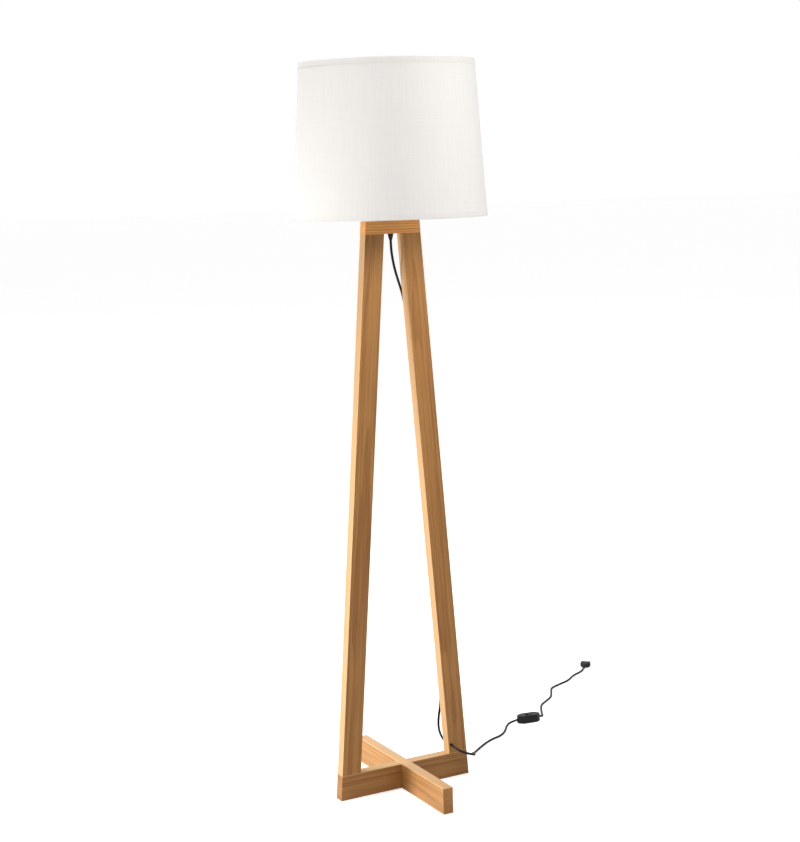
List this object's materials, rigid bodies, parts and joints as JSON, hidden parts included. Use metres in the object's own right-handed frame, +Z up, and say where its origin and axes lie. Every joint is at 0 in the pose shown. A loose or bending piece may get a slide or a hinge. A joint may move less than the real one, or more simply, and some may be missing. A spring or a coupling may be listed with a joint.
{
  "type": "A-frame floor lamp",
  "caption": "Wooden A-frame floor lamp with a crossed base, a tapered drum fabric shade on a ring fitter, a screw-in bulb and a black mains lead with an in-line switch.",
  "frame": {"origin": "on the floor, under the middle of the crossed base and on the lamp's vertical axis", "axes": "+Z up; +X along the frame rail, in the plane of the two legs, towards the leg that carries the lead; +Y along the cross rail, to the rear, towards the plug"},
  "size_m": [1.0498, 0.722, 1.5337],
  "materials": {
    "oiled_oak": "light oak boards, oiled, satin",
    "beech_dowel": "fluted beech, raw",
    "felt": "pressed wool felt",
    "zinc_steel": "zinc-plated steel",
    "grip_plastic": "dark brown moulded plastic",
    "core_insulation": "insulated cores",
    "holder_plastic": "black thermoplastic",
    "ceramic": "glazed ceramic",
    "brass": "plain brass strip",
    "opal_glass": "opal coated glass bulb",
    "bulb_metal": "rolled aluminium shell",
    "shade_cloth": "fine plain-weave off-white cloth",
    "shade_film": "white laminating film",
    "white_wire": "white coated steel wire",
    "clip_plastic": "black moulded plastic",
    "lead_sheath": "black flexible PVC sheath, satin",
    "switch_plastic": "black moulded plastic, fine texture",
    "plug_metal": "nickel-plated brass"
  },
  "bodies": {
    "frame": {"leg_left": "oiled_oak", "leg_right": "oiled_oak", "frame_rail": "oiled_oak", "cross_rail": "oiled_oak", "top_block": "oiled_oak", "joint_dowels": "beech_dowel", "foot_screws": "zinc_steel", "lap_screw": "zinc_steel", "felt_pads": "felt", "threaded_tube": "zinc_steel", "tube_washer": "zinc_steel", "tube_nut": "zinc_steel", "cord_grip": "grip_plastic", "core_wires": "core_insulation", "holder_cap": "holder_plastic", "holder_body": "holder_plastic", "holder_insulator": "ceramic", "holder_sleeve": "brass", "centre_contact": "brass", "terminal_screws": "brass", "cord_clips": "clip_plastic", "clip_nails": "zinc_steel", "lamp_lead": "lead_sheath", "plug_lead": "lead_sheath", "switch_base": "switch_plastic", "switch_cover": "switch_plastic", "rocker_pin": "zinc_steel", "switch_screws": "zinc_steel", "switch_terminals": "brass", "plug_body": "switch_plastic", "plug_pins": "plug_metal"},
    "bulb": {"bulb_glass": "opal_glass", "bulb_cap": "bulb_metal", "bulb_contact": "holder_plastic"},
    "shade": {"shade_fabric": "shade_cloth", "shade_liner": "shade_film", "shade_hem_top": "shade_cloth", "shade_hem_bottom": "shade_cloth", "shade_top_wire": "white_wire", "shade_bottom_wire": "white_wire", "shade_spider": "white_wire"},
    "shade_ring": {"shade_ring": "holder_plastic"},
    "rocker": {"switch_rocker": "switch_plastic"}
  },
  "joints": [
    {"name": "shade_turn", "type": "hinge", "parent": "frame", "child": "shade", "pos_m": [0, 0, 1.248], "axis": [0, 0, 1], "continuous": true},
    {"name": "shade_ring_turn", "type": "hinge", "parent": "frame", "child": "shade_ring", "pos_m": [0, 0, 1.2536], "axis": [0, 0, 1], "continuous": true},
    {"name": "bulb_draw", "type": "slide", "parent": "frame", "child": "bulb", "axis": [0, 0, 1], "range_m": [0, 0.03]},
    {"name": "switch_rock", "type": "hinge", "parent": "frame", "child": "rocker", "pos_m": [0.456, 0.207, 0.0174], "axis": [-0.1392, -0.9903, 0], "range_deg": [0, 16]}
  ]
}
